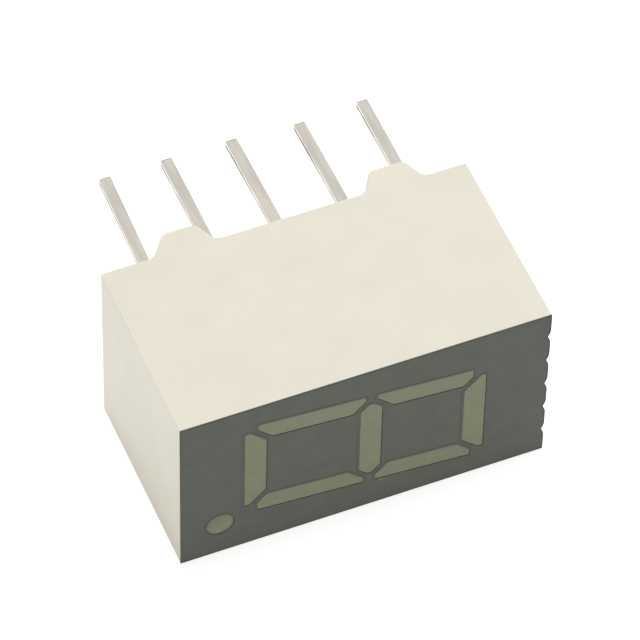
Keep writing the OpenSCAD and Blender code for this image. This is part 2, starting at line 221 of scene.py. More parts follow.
@dataclass(frozen=True)
class ChippedInk(Finish):
    """Printed ink with one small chip that bares the pale moulding under it."""

    chip_at_mm: tuple[float, float, float] = (0.64, -6.395, 1.3)
    chip_size_mm: tuple[float, float] = (0.1, 0.13)
    bare_colour: str = "#948C80"
    chip_border: tuple[float, float] = (1.15, 0.75)

    def colour_socket(self, tree: bpy.types.NodeTree, place: bpy.types.NodeSocket) -> bpy.types.NodeSocket:
        """Ink colour with the chip mixed in, in an ellipse round its place.

        Args:
            tree: The material's node tree.
            place: Object coordinates.

        Returns:
            The colour output.
        """
        ink = Finish.colour_socket(self, tree, place)
        wide, high = self.chip_size_mm
        centred = add_node(
            tree, "ShaderNodeVectorMath", {0: place, 1: [-c * MM for c in self.chip_at_mm]}, operation="ADD"
        )
        scaled = add_node(
            tree,
            "ShaderNodeVectorMath",
            {0: centred.outputs[0], 1: (per_metre(wide), 0, per_metre(high))},
            operation="MULTIPLY",
        )
        away = add_node(tree, "ShaderNodeVectorMath", {0: scaled.outputs[0]}, operation="LENGTH")
        outer, inner = self.chip_border
        inside = add_node(
            tree,
            "ShaderNodeMapRange",
            {0: away.outputs["Value"], 1: outer, 2: inner},
            interpolation_type="SMOOTHSTEP",
        )
        mixed = add_node(
            tree, "ShaderNodeMix", {0: inside.outputs[0], 6: ink, 7: linear(self.bare_colour)}, data_type="RGBA"
        )
        return mixed.outputs[2]


@dataclass(frozen=True)
class ShearedStrip(Finish):
    """Plated sheet whose sheared sides show a bright cut band, brightened as a painted highlight, and a dark
    fracture band, darkened as painted shade.
    """

    # Bright band: cut zone with a painted highlight. Dark band: fracture zone with painted shade, lighter away
    # from the tip.
    cut_and_highlight_colour: str = "#E6E1D8"
    torn_and_shade_colour: str = "#5F5446"
    far_from_tip_colour: str = "#A79F92"
    fade_from_tip_mm: tuple[float, float] = (1.0, 3.2)
    torn_share: float = 0.68
    ragged_mm: float = 0.12
    ragged_share: float = 0.9
    band_blur: float = 0.08
    cropped_colour: str = "#8F8370"
    cropped_mm: float = 0.05
    cropped_full_mm: float = 0.02
    cropped_share: float = 0.8

    def colour_socket(self, tree: bpy.types.NodeTree, place: bpy.types.NodeSocket) -> bpy.types.NodeSocket:
        """Plate colour with the two bands mixed in where the sides were sheared: the cut and fracture zones, with
        a painted highlight in the bright band and painted shade in the dark band, which turns lighter away from
        the tip.

        Args:
            tree: The material's node tree.
            place: Object coordinates, stretched along the legs.

        Returns:
            The colour output.
        """
        plate = Finish.colour_socket(self, tree, place)
        through = add_node(tree, "ShaderNodeAttribute", attribute_name=THROUGH).outputs["Fac"]
        sheared = add_node(tree, "ShaderNodeAttribute", attribute_name=SHEARED).outputs["Fac"]
        ragged = add_node(
            tree, "ShaderNodeTexNoise", {"Vector": place, "Scale": per_metre(self.ragged_mm), "Detail": 2.0}
        )
        border = add_node(
            tree,
            "ShaderNodeMath",
            {0: ragged.outputs[0], 1: self.ragged_share, 2: self.torn_share - self.ragged_share / 2},
            operation="MULTIPLY_ADD",
        )
        over = add_node(tree, "ShaderNodeMath", {0: through, 1: border.outputs[0]}, operation="SUBTRACT")
        cut = add_node(
            tree,
            "ShaderNodeMapRange",
            {0: over.outputs[0], 1: -self.band_blur, 2: self.band_blur},
            interpolation_type="SMOOTHSTEP",
        )
        to_tip = add_node(tree, "ShaderNodeAttribute", attribute_name=TO_TIP).outputs["Fac"]
        nearest, farthest = self.fade_from_tip_mm
        away_from_tip = add_node(
            tree,
            "ShaderNodeMapRange",
            {0: to_tip, 1: nearest, 2: farthest},
            interpolation_type="SMOOTHSTEP",
        )
        # Dark side band: painted shade, turning lighter away from the tip.
        torn_and_shade = add_node(
            tree,
            "ShaderNodeMix",
            {0: away_from_tip.outputs[0], 6: linear(self.torn_and_shade_colour), 7: linear(self.far_from_tip_colour)},
            data_type="RGBA",
        )
        # Bright side band: painted highlight over the cut zone.
        bands = add_node(
            tree,
            "ShaderNodeMix",
            {0: cut.outputs[0], 6: torn_and_shade.outputs[2], 7: linear(self.cut_and_highlight_colour)},
            data_type="RGBA",
        )
        sides = add_node(tree, "ShaderNodeMix", {0: sheared, 6: plate, 7: bands.outputs[2]}, data_type="RGBA")
        cropped = add_node(
            tree,
            "ShaderNodeMapRange",
            {0: to_tip, 1: self.cropped_mm, 2: self.cropped_full_mm, 3: 0.0, 4: self.cropped_share},
        )
        mixed = add_node(
            tree,
            "ShaderNodeMix",
            {0: cropped.outputs[0], 6: sides.outputs[2], 7: linear(self.cropped_colour)},
            data_type="RGBA",
        )
        return mixed.outputs[2]


# Polycarbonate filled with white pigment, injection moulded: satin, faintly
# warm, with the fine spark eroded grain of its mould.
HOUSING_PLASTIC = Finish(
    name="moulded_white_polycarbonate",
    colour="#ECE7D7",
    tint="#E9E4D4",
    blotch_mm=1.6,
    grain_mm=0.07,
    bump_mm=0.0012,
    roughness=0.46,
    ior=1.58,
    subsurface=0.12,
    subsurface_mm=0.35,
)
# Matt grey screen ink, drawn with a coarser grain than its pigment has, so that
# the tooth of the print shows at this size.
FACE_INK = ChippedInk(
    name="matt_grey_screen_ink",
    colour="#585B52",
    tint="#545750",
    blotch_mm=0.9,
    grain_mm=0.06,
    bump_mm=0.0015,
    roughness=0.62,
    specular=0.35,
)
# The same ink along the raised edge of the print, its darker colour painted shade at the windows and the rim.
INK_EDGE_SHADE = Finish(
    name="grey_ink_with_painted_edge_shade",
    colour="#54554E",
    tint="#50514A",
    blotch_mm=0.5,
    grain_mm=0.05,
    bump_mm=0.001,
    roughness=0.58,
    specular=0.35,
)
# Epoxy with a diffusing filler and a grey green tint, cast against a tape: an
# even, slightly waxy surface.
DIFFUSING_EPOXY = Finish(
    name="cast_diffusing_epoxy",
    colour="#757756",
    tint="#707251",
    blotch_mm=0.45,
    grain_mm=0.05,
    bump_mm=0.0006,
    roughness=0.4,
    ior=1.53,
    subsurface=0.15,
    subsurface_mm=0.25,
)
# Unfilled epoxy poured behind the light pipes: glossy, honey grey and level.
POTTING_EPOXY = Finish(
    name="poured_potting_epoxy",
    colour="#C4BFA9",
    tint="#B9B49C",
    blotch_mm=1.2,
    grain_mm=0.5,
    bump_mm=0.004,
    roughness=0.16,
    ior=1.53,
    subsurface=0.25,
    subsurface_mm=0.5,
)
# Stamped strip with matt electroplated tin: soft grey beige sheen with drawing
# lines along the legs, and sheared sides whose bright and dark bands carry a painted highlight and painted shade.
TIN_PLATE = ShearedStrip(
    name="matt_tin_plated_strip",
    colour="#D8D2C7",
    tint="#CBC6BB",
    blotch_mm=0.24,
    grain_mm=0.035,
    bump_mm=0.0012,
    roughness=0.34,
    roughness_spread=0.1,
    metallic=1.0,
    stretch=(1.0, 0.12, 1.0),
)
# Sawn gallium arsenide phosphide with a dull dark side.
SAWN_CHIP = Finish(
    name="sawn_semiconductor_chip",
    colour="#4A3A34",
    tint="#5A4A40",
    blotch_mm=0.08,
    grain_mm=0.02,
    bump_mm=0.0005,
    roughness=0.45,
)
# Drawn gold wire, bright and smooth.
GOLD_WIRE = Finish(
    name="drawn_gold_wire",
    colour="#E0B45A",
    tint="#D8AA50",
    blotch_mm=0.1,
    grain_mm=0.02,
    bump_mm=0.0002,
    roughness=0.2,
    metallic=1.0,
)


def link_mesh(name: str, mesh: bpy.types.Mesh) -> bpy.types.Object:
    """Puts a mesh in the scene as an object at the origin."""
    piece = bpy.data.objects.new(name, mesh)
    bpy.context.scene.collection.objects.link(piece)
    return piece


def merged_copy(node: str) -> bmesh.types.BMesh:
    """Copies a CAD node's loose triangles into one joined mesh with whole flat faces.

    Args:
        node: The CAD node's name.

    Returns:
        The editable copy, which the caller frees.
    """
    shape = bmesh.new()
    shape.from_mesh(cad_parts[node].data)
    bmesh.ops.remove_doubles(shape, verts=shape.verts, dist=MERGE_MM * MM)
    bmesh.ops.dissolve_limit(
        shape, angle_limit=FLAT_WITHIN, verts=shape.verts, edges=shape.edges, delimit={"NORMAL"}
    )
    shape.normal_update()
    return shape


def round_edges(shape: bmesh.types.BMesh, chosen: Callable[[bmesh.types.BMEdge], bool], radius_mm: float) -> None:
    """Rounds the sharp edges that a test picks.

    Args:
        shape: The mesh to edit.
        chosen: Says whether an edge is one of them.
        radius_mm: Width of the rounding.
    """
    edges = [e for e in shape.edges if len(e.link_faces) == 2 and e.calc_face_angle(0) > SHARP_FROM and chosen(e)]
    bmesh.ops.bevel(
        shape,
        geom=edges,
        offset=radius_mm * MM,
        segments=ROUNDING_STEPS,
        profile=0.5,
        affect="EDGES",
        clamp_overlap=True,
    )


def smooth_piece(name: str, shape: bmesh.types.BMesh) -> bpy.types.Object:
    """Turns an edited mesh to an object whose flats stay flat beside its rounded edges.

    Args:
        name: The piece's name.
        shape: The mesh, which is freed.

    Returns:
        The piece.
    """
    mesh = bpy.data.meshes.new(name)
    shape.to_mesh(mesh)
    shape.free()
    mesh.shade_smooth()
    mesh.set_sharp_from_angle(angle=CREASED_FROM)
    piece = link_mesh(name, mesh)
    weighted = piece.modifiers.new("flat_faces", "WEIGHTED_NORMAL")
    weighted.weight = 80
    weighted.keep_sharp = True
    bpy.context.view_layer.update()
    evaluated = piece.evaluated_get(bpy.context.evaluated_depsgraph_get())
    piece.data = bpy.data.meshes.new_from_object(evaluated)
    piece.modifiers.clear()
    return piece


def dress(piece: bpy.types.Object, material: bpy.types.Material, slot: Slot, nodes: tuple[str, ...] = ()) -> None:
    """Gives a piece its material and its body, and hides the nodes that it stands for.

    Args:
        piece: The finished piece.
        material: Its material.
        slot: Not used.
        nodes: CAD nodes that it replaces.
    """
    piece.data.materials.clear()
    piece.data.materials.append(material)
    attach(piece, ROOT)
    if nodes:
        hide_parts(*nodes)
    log.info("%s: %d faces", piece.name, len(piece.data.polygons))


def run_tree(base: bpy.types.Object, tree: bpy.types.NodeTree, values: dict) -> bpy.types.Mesh:
    """Runs a geometry node tree on an object and returns its result as a plain mesh.

    Args:
        base: The object that carries the input mesh.
        tree: The tree.
        values: The tree's input names to their values.

    Returns:
        The realised mesh.
    """
    modifier = base.modifiers.new(tree.name, "NODES")
    modifier.node_group = tree
    for item in tree.interface.items_tree:
        if item.name in values:
            modifier[item.identifier] = values[item.name]
    bpy.context.view_layer.update()
    evaluated = base.evaluated_get(bpy.context.evaluated_depsgraph_get())
    mesh = bpy.data.meshes.new_from_object(evaluated)
    base.modifiers.remove(modifier)
    return mesh


def new_tree(name: str, inputs: dict[str, str]) -> tuple[bpy.types.NodeTree, bpy.types.Node, bpy.types.Node]:
    """Starts a geometry node tree with named inputs.

    Args:
        name: The tree's name.
        inputs: Input names to socket types, after the geometry itself.

    Returns:
        The tree, its group input and its group output.
    """
    tree = bpy.data.node_groups.new(name, "GeometryNodeTree")
    tree.interface.new_socket("Geometry", in_out="INPUT", socket_type="NodeSocketGeometry")
    for label, kind in inputs.items():
        tree.interface.new_socket(label, in_out="INPUT", socket_type=kind)
    tree.interface.new_socket("Geometry", in_out="OUTPUT", socket_type="NodeSocketGeometry")
    return tree, tree.nodes.new("NodeGroupInput"), tree.nodes.new("NodeGroupOutput")


def finish_tree(
    tree: bpy.types.NodeTree,
    given: bpy.types.Node,
    out: bpy.types.Node,
    shape: bpy.types.NodeSocket,
) -> None:
    """Ends a tree in smooth shading, realised instances and the material input.

    Args:
        tree: The tree.
        given: Its group input, with a Material socket.
        out: Its group output.
        shape: The geometry to finish.
    """
    smooth = add_node(tree, "GeometryNodeSetShadeSmooth", {"Geometry": shape})
    real = add_node(tree, "GeometryNodeRealizeInstances", {"Geometry": smooth.outputs[0]})
    dressed = add_node(
        tree, "GeometryNodeSetMaterial", {"Geometry": real.outputs[0], "Material": given.outputs["Material"]}
    )
    tree.links.new(dressed.outputs[0], out.inputs[0])


def front_face(shape: bmesh.types.BMesh, low: float) -> bmesh.types.BMFace:
    """Finds the largest face that looks out of the display at its front.

    Args:
        shape: A joined copy of a CAD node.
        low: Y of the node's front.

    Returns:
        The face.
    """
    return max(
        (
            f
            for f in shape.faces
            if f.normal.dot(FACE_NORMAL) > FACES_FRONT and f.calc_center_median().y < low + NEAR_MM * MM
        ),
        key=lambda f: f.calc_area(),
    )


def anticlockwise(points: list[Vector]) -> list[Vector]:
    """Turns an outline in X and Z so that it runs anticlockwise as seen from in front."""
    pairs = zip(points, points[1:] + points[:1], strict=True)
    turning = sum(p.x * q.z - q.x * p.z for p, q in pairs)
    return points if turning > 0 else points[::-1]


def front_outline(node: str) -> list[Vector]:
    """Corner points of a bar's front face, in order, as X and Z at zero depth.

    Args:
        node: A CAD node that reaches the face.

    Returns:
        The outline, running anticlockwise as seen from in front.
    """
    shape = merged_copy(node)
    front = front_face(shape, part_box(node)[0].y)
    points = [Vector((v.co.x, 0, v.co.z)) for v in front.verts]
    shape.free()
    return anticlockwise(points)


def grown(outline: list[Vector], by_mm: float) -> list[Vector]:
    """Moves an outline outwards by an even distance.

    Args:
        outline: Anticlockwise points in X and Z.
        by_mm: Distance, or minus the distance to move inwards.

    Returns:
        The moved points.
    """
    moved = []
    for i, here in enumerate(outline):
        before = (here - outline[i - 1]).normalized()
        after = (outline[(i + 1) % len(outline)] - here).normalized()
        out_before = Vector((before.z, 0, -before.x))
        out_after = Vector((after.z, 0, -after.x))
        middle = (out_before + out_after).normalized()
        reach = by_mm * MM / max(middle.dot(out_before), 0.4)
        moved.append(here + middle * reach)
    return moved


@dataclass(frozen=True)
class StandoffDraft:
    """How far a standoff's two flanks lie from their plain lines, at tip and foot, along +X."""

    at_mm: float
    low_flank_mm: tuple[float, float]
    high_flank_mm: tuple[float, float]


@dataclass
class Housing:
    """The off-white moulding: outer edges rounded as the mould leaves them."""

    edge_mm: float = 0.045
    back_edge_mm: float = 0.08
    notch_mm: float = 0.12
    standoff_mm: float = 0.92
    foot_reach_mm: float = 1.4
    standoffs: tuple[StandoffDraft, StandoffDraft] = (
        StandoffDraft(-3.86, (0.1, -0.1), (0.14, 0.14)),
        StandoffDraft(4.26, (0.0, -0.07), (0.17, 0.1)),
    )

    def draft_standoffs(self, shape: bmesh.types.BMesh) -> None:
        """Moves the standoffs' flanks to the slopes that the mould gave them.

        Args:
            shape: The housing's mesh.
        """
        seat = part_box("housing")[1].y
        foot = seat - self.standoff_mm * MM
        for vertex in shape.verts:
            here = vertex.co.x / MM
            standoff = min(self.standoffs, key=lambda s: abs(s.at_mm - here))
            if vertex.co.y < foot - 0.01 * MM or abs(here - standoff.at_mm) > self.foot_reach_mm:
                continue
            at_tip, at_foot = standoff.low_flank_mm if here < standoff.at_mm else standoff.high_flank_mm
            down = (seat - vertex.co.y) / (seat - foot)
            vertex.co.x += (at_tip + (at_foot - at_tip) * down) * MM

    def back_test(self) -> Callable[[bmesh.types.BMEdge], bool]:
        """Makes the test that picks edges of the back rim and of the standoffs."""
        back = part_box("back_potting")[1].y + NEAR_MM * MM
        return lambda edge: all(v.co.y > back for v in edge.verts)

    def outer_test(self) -> Callable[[bmesh.types.BMEdge], bool]:
        """Makes the test that picks edges of the outer walls.

        Returns:
            The test.
        """
        low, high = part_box("housing")
        near = NEAR_MM * MM
        notched = (self.notch_mm + 0.01) * MM

        def outside(point: Vector) -> bool:
            return (
                point.z < low.z + near
                or point.z > high.z - near
                or point.x < low.x + near
                or point.x > high.x - notched
            )

        def is_outer(edge: bmesh.types.BMEdge) -> bool:
            ends = [v.co for v in edge.verts]
            on_front = all(p.y < low.y + near for p in ends)
            return all(outside(p) for p in ends) and not on_front

        return is_outer

    def build(self, material: bpy.types.Material) -> None:
        """Builds and dresses the moulding.

        Args:
            material: The housing's plastic.
        """
        shape = merged_copy("housing")
        self.draft_standoffs(shape)
        round_edges(shape, self.back_test(), self.back_edge_mm)
        round_edges(shape, self.outer_test(), self.edge_mm)
        dress(smooth_piece("housing_moulding", shape), material, Slot.HOUSING, ("housing",))


@dataclass
class FacePrint:
    """The grey ink on the face and the raised edge of the print, whose darker colour is painted shade."""

    bead_mm: float = 0.05
    rim_bead_mm: float = 0.03
    bead_rise_mm: float = 0.012
    window_gap_mm: float = 0.045
    round_sides: int = 8

    def bead_tree(self) -> bpy.types.NodeTree:
        """Tree that sweeps a flattened bead along each outline it is given.

        Returns:
            The tree, with inputs Radius, Flatness, Depth and Material.
        """
        tree, given, out = new_tree(
            "ink_bead",
            {
                "Radius": "NodeSocketFloat",
                "Flatness": "NodeSocketFloat",
                "Depth": "NodeSocketFloat",
                "Material": "NodeSocketMaterial",
            },
        )
        path = add_node(tree, "GeometryNodeMeshToCurve", {"Mesh": given.outputs["Geometry"]})
        round_wire = add_node(
            tree,
            "GeometryNodeCurvePrimitiveCircle",
            {"Resolution": self.round_sides, "Radius": given.outputs["Radius"]},
        )
        swept = add_node(
            tree, "GeometryNodeCurveToMesh", {"Curve": path.outputs[0], "Profile Curve": round_wire.outputs[0]}
        )
        squeeze = add_node(tree, "ShaderNodeCombineXYZ", {"X": 1.0, "Y": given.outputs["Flatness"], "Z": 1.0})
        shift = add_node(tree, "ShaderNodeCombineXYZ", {"X": 0.0, "Y": given.outputs["Depth"], "Z": 0.0})
        placed = add_node(
            tree,
            "GeometryNodeTransform",
            {"Geometry": swept.outputs[0], "Translation": shift.outputs[0], "Scale": squeeze.outputs[0]},
        )
        finish_tree(tree, given, out, placed.outputs[0])
        return tree

    def outlines_mesh(self, name: str, outlines: list[list[Vector]]) -> bpy.types.Mesh:
        """Closed rings of edges, one for each outline.

        Args:
            name: The mesh's name.
            outlines: The outlines.

        Returns:
            A mesh of edges only.
        """
        points, edges = [], []
        for outline in outlines:
            start, n = len(points), len(outline)
            points += outline
            edges += [(start + i, start + (i + 1) % n) for i in range(n)]
        mesh = bpy.data.meshes.new(name)
        mesh.from_pydata(points, edges, [])
        return mesh

    def build_beads(
        self,
        name: str,
        outlines: list[list[Vector]],
        radius_mm: float,
        material: bpy.types.Material,
    ) -> None:
        """Builds one set of beads as a plain piece.

        Args:
            name: The piece's name.
            outlines: Centre lines of the beads.
            radius_mm: Half the bead's width.
            material: The ink darkened as painted shade.
        """
        base = link_mesh(name + "_path", self.outlines_mesh(name, outlines))
        values = {
            "Radius": radius_mm * MM,
            "Flatness": self.bead_rise_mm / radius_mm,
            "Depth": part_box("face_coat")[0].y + self.bead_rise_mm * MM,
            "Material": material,
        }
        mesh = run_tree(base, self.bead_tree(), values)
        bpy.data.objects.remove(base)
        dress(link_mesh(name, mesh), material, Slot.INK)

    def build(self, ink: bpy.types.Material, edge: bpy.types.Material) -> None:
        """Builds the ink layer, the beads round its windows and along its rim.

        Args:
            ink: The face's ink.
            edge: The same ink, darkened as painted shade along the raised edges.
        """
        shape = merged_copy("face_coat")
        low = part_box("face_coat")[0].y
        for vertex in shape.verts:
            if vertex.co.y < low + MERGE_MM * MM:
                vertex.co.y = low + self.bead_rise_mm * MM
        dress(smooth_piece("face_ink_layer", shape), ink, Slot.INK, ("face_coat",))
        openings = [*(f"segment_{bar}" for bar in BARS), "decimal_point"]
        windows = [grown(front_outline(node), self.window_gap_mm) for node in openings]
        # The beads' darker ink is painted shade along the windows and the rim.
        self.build_beads("ink_edge_at_windows", windows, self.bead_mm, edge)
        self.build_beads("ink_edge_at_rim", [self.rim_outline()], self.rim_bead_mm, edge)

    def rim_outline(self) -> list[Vector]:
        """Outline of the whole face, drawn in by the bead's width.

        Returns:
            The outline's points.
        """
        shape = merged_copy("face_coat")
        low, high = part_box("face_coat")
        rim = {}
        for edge in shape.edges:
            ends = [v.co for v in edge.verts]
            on_front = all(abs(p.y - low.y) < MERGE_MM * MM for p in ends)
            side = any(abs(f.normal.y) < 0.1 for f in edge.link_faces)
            if on_front and side and all(is_rim(p, low, high) for p in ends):
                for a, b in (edge.verts, reversed(edge.verts)):
                    rim.setdefault(a.index, []).append(b.index)
        places = {v.index: Vector((v.co.x, 0, v.co.z)) for v in shape.verts}
        shape.free()
        start = min(rim)
        walk, last = [start], None
        while True:
            here = walk[-1]
            step = next(n for n in rim[here] if n != last)
            if step == start:
                break
            last = here
            walk.append(step)
        return grown(anticlockwise([places[i] for i in walk]), -self.rim_bead_mm)


def is_rim(point: Vector, low: Vector, high: Vector) -> bool:
    """Says whether a point of the face lies on its outer outline, notches and all."""
    near = RIM_WITHIN_MM * MM
    return (
        point.x < low.x + near or point.x > high.x - near or point.z < low.z + near or point.z > high.z - near
    )


@dataclass
class DigitResin:
    """The seven bars and the decimal point: resin that shrank a little in its windows."""

    sink_mm: float = 0.03
    skin_mm: float = 0.014
    margin_mm: float = 0.03

    def build_one(self, node: str, name: str, material: bpy.types.Material) -> None:
        """Builds one filling, its face sunk at the edge and nearly level inside.

        Args:
            node: The CAD node that it stands for.
            name: The piece's name.
            material: The diffusing epoxy.
        """
        shape = merged_copy(node)
        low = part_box(node)[0].y
        front = front_face(shape, low)
        rim = list(front.verts)
        bmesh.ops.inset_individual(shape, faces=[front], thickness=self.margin_mm * MM, use_even_offset=True)
        for vertex in rim:
            vertex.co.y = low + self.sink_mm * MM
        for vertex in front.verts:
            vertex.co.y = low + self.skin_mm * MM
        shape.normal_update()
        dress(smooth_piece(name, shape), material, Slot.RESIN, (node,))

    def build(self, material: bpy.types.Material) -> None:
        """Builds all eight fillings.

        Args:
            material: The diffusing epoxy.
        """
        for bar in BARS:
            self.build_one(f"segment_{bar}", f"resin_bar_{bar}", material)
        self.build_one("decimal_point", "resin_decimal_point", material)


@dataclass
class Leads:
    """The nine pieces of lead frame, with the edges that stamping and plating leave."""

    edge_mm: float = 0.055
    tip_edge_mm: float = 0.018
    tip_zone_mm: float = 3.5
    side_turn: float = 0.4
    row_mm: float = 2.54
    sheet_mm: float = 0.25

    def build(self, material: bpy.types.Material) -> None:
        """Builds and dresses each lead frame piece.

        Args:
            material: The tin plate.
        """
        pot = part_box("back_potting")[1].y
        for name in ("common", *DRIVEN):
            shape = merged_copy(f"lead_{name}")
            round_edges(shape, lambda e: self.runs_along(e, pot), self.edge_mm)
            round_edges(shape, lambda e: self.is_near_tip(e, pot), self.tip_edge_mm)
            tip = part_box(f"lead_{name}")[1].y
            for vertex in shape.verts:
                vertex.co.y = min(vertex.co.y, tip)
            piece = smooth_piece(f"tinned_lead_{name}", shape)
            self.mark_sides(piece.data)
            dress(piece, material, Slot.LEAD, (f"lead_{name}",))

    def runs_along(self, edge: bmesh.types.BMEdge, surface: float) -> bool:
        """Says whether an edge runs along a leg behind the resin's surface."""
        first, second = (v.co for v in edge.verts)
        along = abs(second.y - first.y) > 0.9 * (second - first).length
        return along and max(first.y, second.y) > surface + 0.1 * MM

    def is_near_tip(self, edge: bmesh.types.BMEdge, surface: float) -> bool:
        """Says whether an edge lies in the stretch near a leg's tip."""
        return all(v.co.y > surface + self.tip_zone_mm * MM for v in edge.verts)

    def mark_sides(self, mesh: bpy.types.Mesh) -> None:
        """Stores the sheared sides, the place through the sheet and the distance to the tip.

        Args:
            mesh: A lead's finished mesh.
        """
        middle = (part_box("housing")[0].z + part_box("housing")[1].z) / 2
        rows = [middle - self.row_mm * MM, middle + self.row_mm * MM]
        through = mesh.attributes.new(THROUGH, "FLOAT", "POINT")
        for vertex, value in zip(mesh.vertices, through.data, strict=True):
            nearest = min(rows, key=lambda z: abs(z - vertex.co.z))
            value.value = (vertex.co.z - nearest) / (self.sheet_mm * MM) + 0.5
        to_tip = mesh.attributes.new(TO_TIP, "FLOAT", "POINT")
        tips = [
            max((v.co.y for v in mesh.vertices if abs(v.co.z - z) < self.sheet_mm * MM), default=0)
            for z in rows
        ]
        for vertex, value in zip(mesh.vertices, to_tip.data, strict=True):
            upper = abs(vertex.co.z - rows[1]) < abs(vertex.co.z - rows[0])
            value.value = (tips[upper] - vertex.co.y) / MM
        sheared = mesh.attributes.new(SHEARED, "FLOAT", "FACE")
        for face, value in zip(mesh.polygons, sheared.data, strict=True):
            value.value = 1.0 if abs(face.normal.x) > self.side_turn else 0.0


@dataclass
class Potting:
    """The poured resin: level in the middle, climbing at the walls and at the leads."""

    climb_mm: float = 0.16
    climb_power: float = 2.4
    climb_steps: tuple[float, ...] = (0, 0.12, 0.28, 0.5, 0.75, 1)
    reach_mm: float = 0.3
    corner_mm: float = 0.4
    collar_mm: float = 0.384
    collar_rise_mm: float = 0.14
    corner_steps: int = 8
    collar_sides: int = 20
    collar_steps: int = 6
    collar_waist: float = 0.3
    collar_least: tuple[float, float, float] = (0.9, 0.75, 0.9)
    collar_most: tuple[float, float, float] = (1.2, 0.95, 1.25)
    seed: int = 7

    def ring(self, inset_mm: float, depth: float) -> list[Vector]:
        """One rounded rectangle of the recess, drawn in by a distance.

        Args:
            inset_mm: Distance in from the recess's wall.
            depth: Y of the ring.

        Returns:
            The ring's points.
        """
        low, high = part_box("back_potting")
        radius = max(self.corner_mm - inset_mm, 0.05) * MM
        inset = inset_mm * MM
        corners = [
            (high.x - inset - radius, low.z + inset + radius, -90),
            (high.x - inset - radius, high.z - inset - radius, 0),
            (low.x + inset + radius, high.z - inset - radius, 90),
            (low.x + inset + radius, low.z + inset + radius, 180),
        ]
        points = []
        for x, z, start in corners:
            for i in range(self.corner_steps + 1):
                turn = math.radians(start + 90 * i / self.corner_steps)
                points.append(Vector((x + radius * math.cos(turn), depth, z + radius * math.sin(turn))))
        return points

    def body(self) -> bpy.types.Object:
        """The poured block with its meniscus at the walls.

        Returns:
            The piece.
        """
        low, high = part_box("back_potting")
        rings = [self.ring(0, low.y)]
        for share in self.climb_steps:
            rise = self.climb_mm * MM * (1 - share) ** self.climb_power
            rings.append(self.ring(share * self.reach_mm, high.y + rise))
        shape = bmesh.new()
        made = [[shape.verts.new(p) for p in ring] for ring in rings]
        n = len(made[0])
        for near, far in zip(made, made[1:], strict=False):
            for i in range(n):
                shape.faces.new((near[i], near[(i + 1) % n], far[(i + 1) % n], far[i]))
        shape.faces.new(made[0])
        shape.faces.new(made[-1])
        bmesh.ops.recalc_face_normals(shape, faces=shape.faces)
        return smooth_piece("potting_block", shape)

    def collar_tree(self) -> bpy.types.NodeTree:
        """Tree that stands a concave collar of resin on each point that it is given.

        Returns:
            The tree, with inputs Radius, Rise, Seed and Material.
        """
        tree, given, out = new_tree(
            "resin_collar",
            {
                "Radius": "NodeSocketFloat",
                "Rise": "NodeSocketFloat",
                "Seed": "NodeSocketInt",
                "Material": "NodeSocketMaterial",
            },
        )
        drum = add_node(
            tree,
            "GeometryNodeMeshCylinder",
            {"Vertices": self.collar_sides, "Side Segments": self.collar_steps, "Radius": 1.0, "Depth": 1.0},
            fill_type="NGON",
        )
        place = add_node(tree, "GeometryNodeInputPosition")
        split = add_node(tree, "ShaderNodeSeparateXYZ", {0: place.outputs[0]})
        down = add_node(tree, "ShaderNodeMath", {0: 0.5, 1: split.outputs["Z"]}, operation="SUBTRACT")
        flare = add_node(tree, "ShaderNodeMath", {0: down.outputs[0], 1: self.climb_power}, operation="POWER")
        width = add_node(tree, "ShaderNodeMapRange", {0: flare.outputs[0], 3: self.collar_waist, 4: 1.0})
        profile = add_node(tree, "ShaderNodeCombineXYZ", {"X": width.outputs[0], "Y": width.outputs[0], "Z": 1.0})
        shaped = add_node(
            tree, "ShaderNodeVectorMath", {0: place.outputs[0], 1: profile.outputs[0]}, operation="MULTIPLY"
        )
        waisted = add_node(
            tree, "GeometryNodeSetPosition", {"Geometry": drum.outputs["Mesh"], "Position": shaped.outputs[0]}
        )
        uneven = add_node(
            tree,
            "FunctionNodeRandomValue",
            {"Min": self.collar_least, "Max": self.collar_most, "Seed": given.outputs["Seed"]},
            data_type="FLOAT_VECTOR",
        )
        size = add_node(
            tree,
            "ShaderNodeCombineXYZ",
            {"X": given.outputs["Radius"], "Y": given.outputs["Radius"], "Z": given.outputs["Rise"]},
        )
        varied = add_node(
            tree, "ShaderNodeVectorMath", {0: size.outputs[0], 1: uneven.outputs[0]}, operation="MULTIPLY"
        )
        stood = add_node(
            tree,
            "GeometryNodeInstanceOnPoints",
            {
                "Points": given.outputs["Geometry"],
                "Instance": waisted.outputs[0],
                "Rotation": Euler((-math.pi / 2, 0, 0)),
                "Scale": varied.outputs[0],
            },
        )
        finish_tree(tree, given, out, stood.outputs[0])
        return tree

    def lead_roots(self) -> list[Vector]:
        """Places where the ten legs leave the resin, read from the CAD leads.

        Returns:
            The middle of each leg at the resin's surface.
        """
        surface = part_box("back_potting")[1].y
        roots = []
        for name in ("common", *DRIVEN):
            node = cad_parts[f"lead_{name}"]
            behind = [v.co for v in node.data.vertices if v.co.y > surface - 0.01 * MM]
            middle = sum(p.z for p in behind) / len(behind)
            groups = (
                [[p for p in behind if p.z > middle], [p for p in behind if p.z <= middle]]
                if name == "common"
                else [behind]
            )
            for group in groups:
                first = min(p.y for p in group)
                close = [p for p in group if p.y < first + 0.05 * MM]
                xs, zs = [p.x for p in close], [p.z for p in close]
                roots.append(Vector(((min(xs) + max(xs)) / 2, surface, (min(zs) + max(zs)) / 2)))
        return roots

